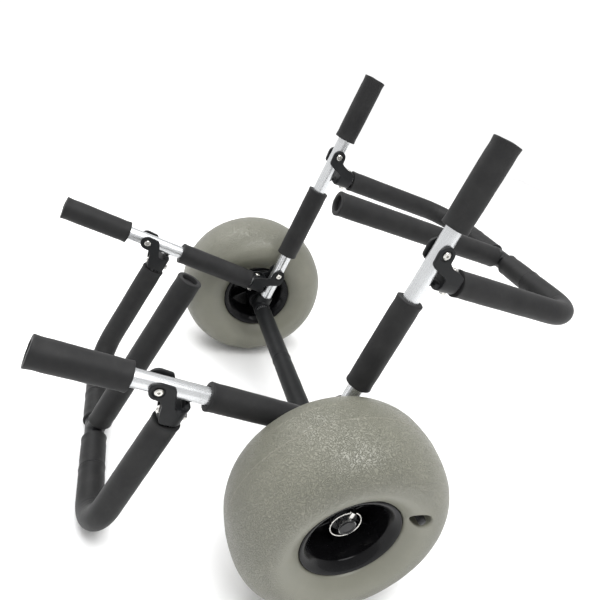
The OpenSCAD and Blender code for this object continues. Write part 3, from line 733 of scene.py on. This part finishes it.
def roundFitting(name, node, body):
    bm = bmesh.new()
    bm.from_mesh(frame["nodes"][node].data)
    bmesh.ops.remove_doubles(bm, verts=bm.verts, dist=cart["weld"])
    piece = finishMesh(bm, name, nylon)
    remesh = piece.modifiers.new("remesh", "REMESH")
    remesh.mode = "VOXEL"
    remesh.voxel_size = fitting["voxel"]
    remesh.use_smooth_shade = True
    soften = piece.modifiers.new("soften", "SMOOTH")
    soften.factor = fitting["smooth"]
    soften.iterations = fitting["passes"]
    applyModifiers(piece)
    for face in piece.data.polygons:
        face.use_smooth = True
    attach(piece, body)
    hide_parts(node)


for name, node, body in (
        ("tailBrackets", "tail_hinges", "tail_arms"), ("upperBrackets", "upper_hinges", "upper_loop"),
        ("lowerBrackets", "lower_hinges", "lower_loop"), ("axleTees", "axle_tees", "frame"),
        ("upperBarTee", "upper_tee", "upper_loop"), ("lowerBarTee", "lower_tee", "lower_loop")):
    roundFitting(name, node, body)
print("fittings done")

# ---- hubs: a spun rim, barrel and web, with ribs out from the boss

hub = {
    "lipTop": 0.062, "lipEdge": 0.074, "lipFoot": 0.0505, "barrel": 0.060, "wall": 0.004, "web": 0.003,
    "boss": 0.0202, "bore": 0.01585, "bossOut": 0.025, "ribs": 6, "rib": 0.004,
    "ribReach": 0.022, "lipRound": 0.003, "bossEdge": 0.001, "edge": 0.0006, "ribEdge": 0.0009,
    "ribRoot": 0.003, "sunk": 0.002, "steps": 160,
}
# the boss ends where the fitting, a washer and the bush's flange leave off
stack = cart["fittingHalf"] + cart["washer"] + cart["bushFlange"] + 2 * cart["gap"]
hub["bossIn"] = cart["armY"] + stack - wheelY


# one half's outline, radius and height, from the web out over the lip to the tyre's seat
def rimOutline():
    inner = hub["barrel"] - hub["wall"]
    top, edge, corner = hub["lipTop"], hub["lipEdge"], hub["lipRound"]
    points = [(inner, hub["web"]), (inner, top - 0.0125), (inner + 0.0008, top - 0.0108),
              (inner + 0.003, top - 0.0085), (inner + 0.006, top - 0.0052), (edge - 0.0075, top - 0.0012)]
    for i in range(9):
        angle = math.radians(105 - 105 * i / 8)
        points.append((edge - corner + corner * math.cos(angle), top - corner + corner * math.sin(angle)))
    points += [(edge, hub["lipFoot"]), (hub["barrel"], hub["lipFoot"])]
    return points


def makeHub(word, side):
    bm = bmesh.new()
    upper = rimOutline()
    section = upper + [(r, -h) for r, h in reversed(upper)]
    hole, boss, low, high, chamfer = (
        hub[key] for key in ("bore", "boss", "bossIn", "bossOut", "bossEdge"))
    bore = [(hole, low), (boss - chamfer, low), (boss, low + chamfer), (boss, -hub["web"])]
    outer = [(boss, hub["web"]), (boss, high - chamfer), (boss - chamfer, high), (hole, high)]
    # from the outer bore, out over the boss, the web and the rim, and back inside
    spinOutline(bm, list(reversed(outer)) + section + list(reversed(bore)), hub["steps"])
    bevelSharp(bm, hub["edge"], 2)
    # the ribs start inside the boss and the web, and end in the barrel's wall
    start = boss - hub["ribRoot"]
    length = hub["barrel"] - hub["wall"] / 2 - start
    height = hub["ribReach"] - hub["web"] + hub["sunk"]
    for i in range(hub["ribs"]):
        for face in (-1, 1):
            middle = Vector((start + length / 2, 0, face * (hub["web"] - hub["sunk"] + height / 2)))
            place = (Matrix.Rotation((i + 0.5) * 2 * math.pi / hub["ribs"], 4, "Z")
                     @ Matrix.Translation(middle) @ Matrix.Diagonal((length, hub["rib"], height, 1)))
            made = bmesh.ops.create_cube(bm, size=1.0, matrix=place)
            bmesh.ops.bevel(bm, geom=edgesOf(made["verts"]), affect="EDGES", offset=hub["ribEdge"],
                            segments=3, profile=0.5, material=-1)
    piece = finishMesh(bm, "hub" + word.capitalize(), hubGloss, wheelPlace(side))
    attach(piece, word + "_wheel")
    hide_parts("hub_" + word)


for word, side in sides.items():
    makeHub(word, side)
print("hubs done")

# ---- valve caps with a ribbed grip

cap = {
    "radius": 0.0060, "length": 0.0172, "bottom": 0.0080, "ribs": 14, "ribSteps": 6, "groove": 0.00045,
    "levels": ((0.15, 1.0), (0.8, 0.97), (0.93, 0.88), (1.0, 0.70)),
}


# a grooved ring drawn up level by level, each level a share of the height and its width
def makeValveCap(word, side):
    bm = bmesh.new()
    made = bmesh.ops.create_circle(bm, segments=cap["ribs"] * cap["ribSteps"], radius=cap["radius"],
                                   cap_ends=False)
    ringVerts = made["verts"]
    for index, vert in enumerate(sorted(ringVerts, key=lambda v: math.atan2(v.co.y, v.co.x))):
        depth = cap["groove"] * (0.5 - 0.5 * math.cos(2 * math.pi * index / cap["ribSteps"]))
        vert.co *= (cap["radius"] - depth) / cap["radius"]
    ringEdges = edgesOf(ringVerts)
    before, scale = 0.0, 1.0
    for level, size in cap["levels"]:
        ringVerts, ringEdges = extrudeRing(bm, ringEdges)
        bmesh.ops.translate(bm, verts=ringVerts, vec=(0, 0, (level - before) * cap["length"]))
        bmesh.ops.scale(bm, verts=ringVerts, vec=(size / scale, size / scale, 1))
        before, scale = level, size
    bmesh.ops.contextual_create(bm, geom=ringEdges)
    floor = tyre["width"] / 2 - pocket["depth"]
    place = (wheelPlace(side) @ Matrix.Rotation(valveTurn(side), 4, "Z")
             @ Matrix.Translation((tyre["valveRadius"], 0, floor + cap["bottom"])))
    piece = finishMesh(bm, "valveCap" + word.capitalize(), capPlastic, place)
    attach(piece, word + "_wheel")
    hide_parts("valve_cap_" + word)


for word, side in sides.items():
    makeValveCap(word, side)
print("valve caps done")

# ---- split wire rings on the pins

ringWire = {"wire": 0.0013, "top": 0.0205, "radius": 0.0222, "start": 0.0050, "rise": 0.0024,
            "riseStart": 0.55, "overlap": 14.0, "inward": 0.0043, "steps": 96, "sides": 20}


def makeRing(word, side):
    pinY = side * (abs(Vector(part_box("lock_pins")[0]).y) + abs(Vector(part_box("lock_pins")[1]).y)) / 2
    pinY -= side * ringWire["inward"]
    # local Z runs along the pin and X across it
    place = Matrix.Rotation(math.radians(90 - lean), 4, "Y")
    place.translation = Vector((axle.x, pinY, axle.z))
    bm = bmesh.new()
    middle = ringWire["top"] - ringWire["radius"]
    first = math.asin(ringWire["start"] / ringWire["radius"])
    sweep = 2 * math.pi - first + math.radians(ringWire["overlap"])
    count = ringWire["steps"]
    path = [Vector((-0.0010, 0, ringWire["top"])), Vector((-0.0035, 0, ringWire["top"]))]
    for i in range(count + 1):
        t = i / count
        angle = math.pi / 2 + first + sweep * t
        rise = max(0.0, (t - ringWire["riseStart"]) / (1 - ringWire["riseStart"])) ** 1.5
        reach = ringWire["radius"] + ringWire["rise"] * rise
        path.append(Vector((reach * math.cos(angle), 0.0, middle + reach * math.sin(angle))))
    made = bmesh.ops.create_circle(bm, segments=ringWire["sides"], radius=ringWire["wire"], cap_ends=True)
    ringVerts = made["verts"]

    def station(index):
        ahead = path[min(index + 1, len(path) - 1)] - path[max(index - 1, 0)]
        here = ahead.to_track_quat("Z", "Y").to_matrix().to_4x4()
        here.translation = path[index]
        return here

    bmesh.ops.transform(bm, matrix=station(0), verts=ringVerts)
    ringEdges = edgesOf(ringVerts)
    for index in range(1, len(path)):
        ringVerts, ringEdges = extrudeRing(bm, ringEdges)
        bmesh.ops.transform(bm, matrix=station(index) @ station(index - 1).inverted(), verts=ringVerts)
    bmesh.ops.contextual_create(bm, geom=ringEdges)
    piece = finishMesh(bm, "pinRing" + word.capitalize(), steel, place)
    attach(piece, word + "_ring")
    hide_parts("pin_ring_" + word)


for word, side in sides.items():
    makeRing(word, side)
print("rings done")

# ---- camera and light

camera = {
    "lens": 32.1748, "sensor": 36.0, "shift": (-0.06604, 0.006565),
    "place": axle + Vector((-0.306109, -0.793187, 0.592325)),
    "right": (0.919962, -0.318223, 0.228918), "up": (-0.038068, 0.508681, 0.860113),
    "back": (-0.390154, -0.799986, 0.455854),
}
lensData = bpy.data.cameras.new("camera")
lensData.sensor_width = camera["sensor"]
lensData.lens = camera["lens"]
lensData.shift_x, lensData.shift_y = camera["shift"]
lensData.clip_start = 0.01
eye = bpy.data.objects.new("camera", lensData)
view = Matrix.Identity(4)
for column, key in enumerate(("right", "up", "back", "place")):
    for row in range(3):
        view[row][column] = camera[key][row]
eye.matrix_world = view
bpy.context.collection.objects.link(eye)
bpy.context.scene.camera = eye

studio = {
    "horizon": 1.08, "zenith": 0.55, "aim": (0, 0, 0.25), "floorHalf": 2.6,
    "lamps": (("keyLamp", (0.20, -0.95, 2.2), 1.6, 42.0), ("backLamp", (-0.9, 1.6, 2.0), 1.5, 26.0),
              ("topLamp", (0.0, 0.6, 4.0), 4.5, 130.0)),
}
world = bpy.data.worlds.new("studio")
world.use_nodes = True
sky = world.node_tree
backdrop = sky.nodes["Background"]
# brighter round the horizon than overhead
direction = sky.nodes.new("ShaderNodeTexCoord").outputs["Generated"]
parts = sky.nodes.new("ShaderNodeSeparateXYZ")
sky.links.new(direction, parts.inputs[0])
strength = Wire(sky, parts.outputs[2]).ramp(0.10, 0.85, studio["horizon"], studio["zenith"])
backdrop.inputs["Color"].default_value = (1, 1, 1, 1)
sky.links.new(strength.socket, backdrop.inputs["Strength"])
bpy.context.scene.world = world
bpy.context.scene.view_settings.view_transform = "Standard"
for name, spot, size, power in studio["lamps"]:
    lampData = bpy.data.lights.new(name, "AREA")
    lampData.shape = "DISK"
    lampData.size = size
    lampData.energy = power
    lamp = bpy.data.objects.new(name, lampData)
    aim = Vector(studio["aim"]) - Vector(spot)
    lamp.matrix_world = Matrix.Translation(spot) @ aim.to_track_quat("-Z", "Y").to_matrix().to_4x4()
    bpy.context.collection.objects.link(lamp)

floorFinish = Finish("floorFinish").set(color=(0.93, 0.93, 0.93), rough=0.8)
bm = bmesh.new()
bmesh.ops.create_grid(bm, x_segments=1, y_segments=1, size=studio["floorHalf"])
floor = finishMesh(bm, "floor", floorFinish, smooth=False)
print("stage done")
